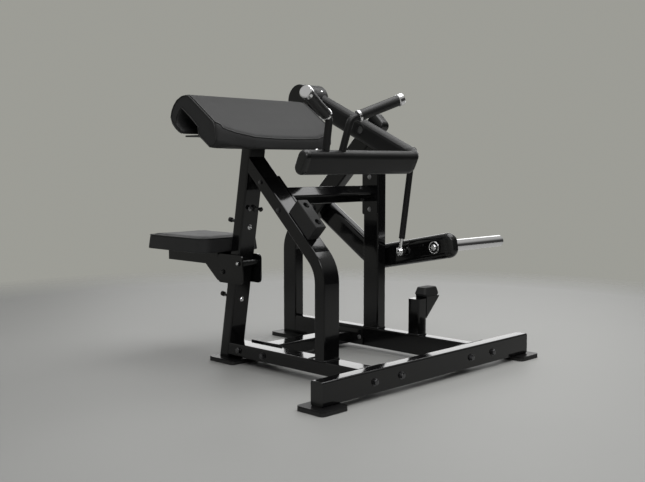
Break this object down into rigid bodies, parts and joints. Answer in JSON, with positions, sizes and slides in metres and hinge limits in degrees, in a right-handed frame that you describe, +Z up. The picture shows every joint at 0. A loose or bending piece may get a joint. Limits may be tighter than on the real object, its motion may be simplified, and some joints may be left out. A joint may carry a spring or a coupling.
{
  "type": "plate-loaded biceps curl machine",
  "caption": "Plate-loaded biceps curl machine with a sloped arm pad, height-adjustable seat, counterweighted curl lever and linked weight arm.",
  "frame": {"origin": "middle of the bounding box in X and Y, on the floor", "axes": "+X points away from the user, +Y to the weight horn's side, +Z up"},
  "size_m": [1.2, 1.37, 1.1029],
  "materials": {
    "gloss_black_paint": "gloss powder coat",
    "satin_black_paint": "satin textured powder coat",
    "chrome": "polished",
    "plated_steel": "zinc plated",
    "black_rubber": "matte",
    "charcoal_vinyl": "fine-grained vinyl",
    "black_plastic": "gloss",
    "plywood": "bare plywood"
  },
  "bodies": {
    "frame": {"front_crossbeam": "gloss_black_paint", "far_rail": "gloss_black_paint", "near_rail": "gloss_black_paint", "rear_crossbeam": "gloss_black_paint", "rear_bent_leg": "gloss_black_paint", "upright_post": "gloss_black_paint", "seat_column": "gloss_black_paint", "near_bent_leg": "gloss_black_paint", "upper_crossbeam": "gloss_black_paint", "brace_flange_near": "gloss_black_paint", "brace_flange_far": "gloss_black_paint", "foot_plate_front_near": "gloss_black_paint", "foot_plate_front_far": "gloss_black_paint", "foot_plate_column": "gloss_black_paint", "foot_plate_rear_leg": "gloss_black_paint", "stop_post": "gloss_black_paint", "stop_bracket": "gloss_black_paint", "seat_rack": "gloss_black_paint", "arm_pad_plate": "satin_black_paint", "lever_axle": "plated_steel", "weight_arm_axle": "plated_steel", "rubber_foot_front_near": "black_rubber", "rubber_foot_front_far": "black_rubber", "rubber_foot_column": "black_rubber", "rubber_foot_rear_leg": "black_rubber", "lever_stop_block": "black_rubber", "stop_bumper": "black_rubber", "crossbeam_cap_near": "black_plastic", "crossbeam_cap_far": "black_plastic", "rear_leg_end_cap": "black_plastic", "column_stop": "black_plastic", "arm_pad_cushion": "charcoal_vinyl"},
    "seat": {"seat_carriage": "gloss_black_paint", "seat_front_roller": "plated_steel", "seat_rear_pin": "plated_steel", "seat_bracket": "gloss_black_paint", "seat_board": "plywood", "seat_cushion": "charcoal_vinyl"},
    "lever": {"lever_arm": "satin_black_paint", "lever_hub": "plated_steel", "lever_end_cap": "black_plastic", "counterweight": "satin_black_paint", "grip_post_near": "satin_black_paint", "grip_post_far": "satin_black_paint", "grip_near": "black_rubber", "grip_far": "black_rubber", "grip_collar_near": "chrome", "grip_collar_far": "chrome", "grip_knob_near": "chrome", "grip_knob_far": "chrome", "rod_upper_stud": "plated_steel"},
    "rod": {"rod_tube": "satin_black_paint", "rod_lower_end": "chrome", "ball_stud": "chrome"},
    "weight_arm": {"weight_arm": "satin_black_paint", "weight_arm_hub": "plated_steel", "weight_arm_end_cap": "black_plastic", "weight_horn": "chrome", "horn_disc": "chrome"}
  },
  "joints": [
    {"name": "seat_slide", "type": "slide", "parent": "frame", "child": "seat", "axis": [0.1711, 0, 0.9853], "range_m": [-0.07, 0.175]},
    {"name": "lever_swing", "type": "hinge", "parent": "frame", "child": "lever", "pos_m": [0.023, 0.14, 0.909], "axis": [0, -1, 0], "range_deg": [-24, 80]},
    {"name": "rod_swing", "type": "hinge", "parent": "lever", "child": "rod", "pos_m": [0.215, 0.216, 0.821], "axis": [0, -1, 0], "range_deg": [-75.4, 22.7]},
    {"name": "weight_arm_swing", "type": "hinge", "parent": "frame", "child": "weight_arm", "pos_m": [-0.312, 0.2595, 0.578], "axis": [0, -1, 0], "range_deg": [-9.7, 32.1]}
  ],
  "couplings": [
    {"joint": "rod_swing", "follows": "lever_swing", "ratio": -0.94},
    {"joint": "weight_arm_swing", "follows": "lever_swing", "ratio": 0.4}
  ]
}
